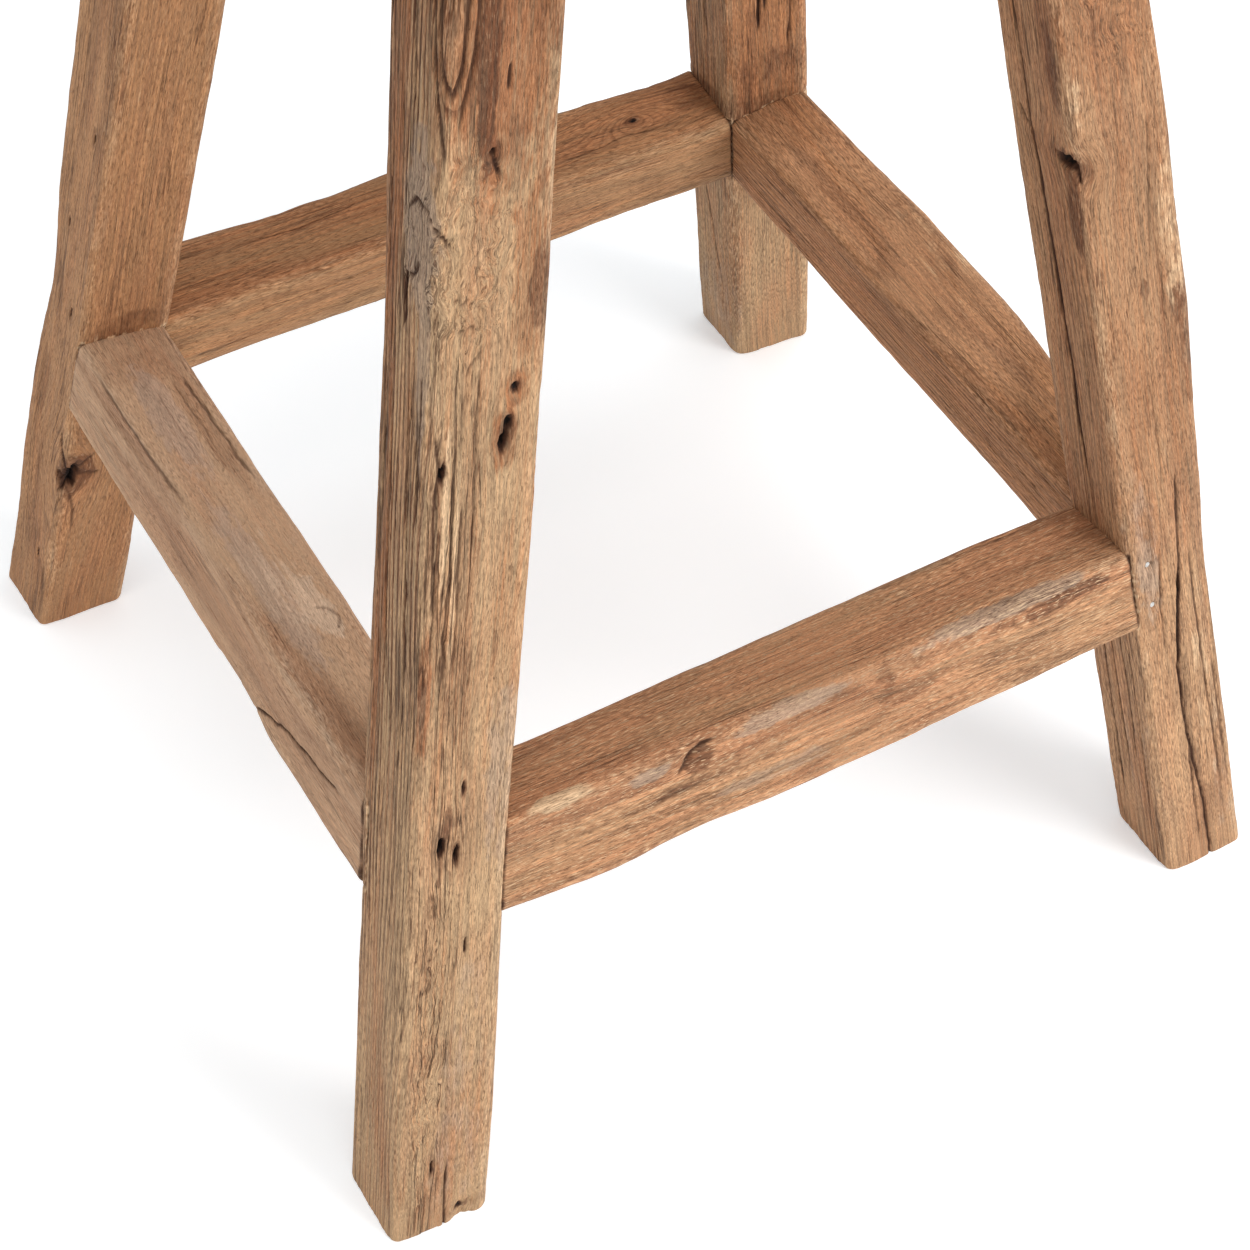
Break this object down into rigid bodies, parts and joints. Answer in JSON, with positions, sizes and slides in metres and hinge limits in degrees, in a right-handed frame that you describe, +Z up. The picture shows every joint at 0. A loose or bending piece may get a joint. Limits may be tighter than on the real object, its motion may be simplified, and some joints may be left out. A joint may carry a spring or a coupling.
{
  "type": "bar stool",
  "caption": "Rustic backless bar stool in weathered wood: splayed square legs, a ring of footrest rails tenoned between them and a thick plank seat on wedged through-tenons.",
  "frame": {"origin": "on the floor, under the middle of the seat", "axes": "+X to the stool's right, +Y to its back, +Z up"},
  "size_m": [0.4994, 0.4874, 0.73],
  "materials": {
    "leg_wood": "bare weathered reclaimed hardwood, matte",
    "rail_wood": "bare weathered reclaimed hardwood, matte, worn paler along its arrises",
    "seat_wood": "bare weathered reclaimed hardwood, matte, rubbed smooth by use",
    "wedge_wood": "dark hardwood, cut flush",
    "dowel_wood": "pale turned hardwood",
    "pin_steel": "dull bright steel"
  },
  "bodies": {
    "root": {"leg_front_left": "leg_wood", "leg_front_right": "leg_wood", "leg_back_left": "leg_wood", "leg_back_right": "leg_wood", "footrest_front": "rail_wood", "footrest_right": "rail_wood", "footrest_back": "rail_wood", "footrest_left": "rail_wood", "seat_board_front": "seat_wood", "seat_board_back": "seat_wood", "seat_wedge_front_left": "wedge_wood", "seat_wedge_front_right": "wedge_wood", "seat_wedge_back_left": "wedge_wood", "seat_wedge_back_right": "wedge_wood", "seat_dowels": "dowel_wood", "pins_front_rail_left": "pin_steel", "pins_front_rail_right": "pin_steel", "pins_right_rail_front": "pin_steel", "pins_right_rail_back": "pin_steel", "pins_back_rail_right": "pin_steel", "pins_back_rail_left": "pin_steel", "pins_left_rail_back": "pin_steel", "pins_left_rail_front": "pin_steel"}
  },
  "joints": []
}
